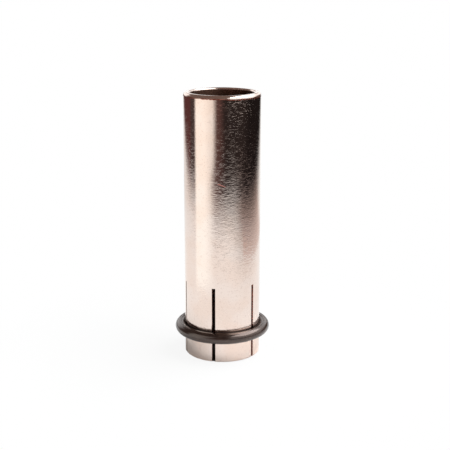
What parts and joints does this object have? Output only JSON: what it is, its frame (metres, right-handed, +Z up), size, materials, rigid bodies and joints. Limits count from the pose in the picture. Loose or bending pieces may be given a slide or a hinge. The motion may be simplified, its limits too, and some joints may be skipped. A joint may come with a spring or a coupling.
{
  "type": "mig welding gas nozzle",
  "caption": "Slip-on gas nozzle for a MIG welding torch: a straight plated copper tube with a rounded mouth, a slotted clamp end and a dark ring that squeezes its fingers.",
  "frame": {"origin": "centre of the slotted end, on the surface that the nozzle stands on", "axes": "+Z up the tube's axis, from the slotted clamp end to the mouth; -Y is the side that the picture shows"},
  "size_m": [0.0303, 0.0302, 0.084],
  "materials": {
    "plated_copper": "nickel plated copper, glossy, finely pitted",
    "ring_rubber": "dark brown-black, smooth, satin"
  },
  "bodies": {
    "root": {"nozzle_tube": "plated_copper", "clamp_ring": "ring_rubber"}
  },
  "joints": []
}
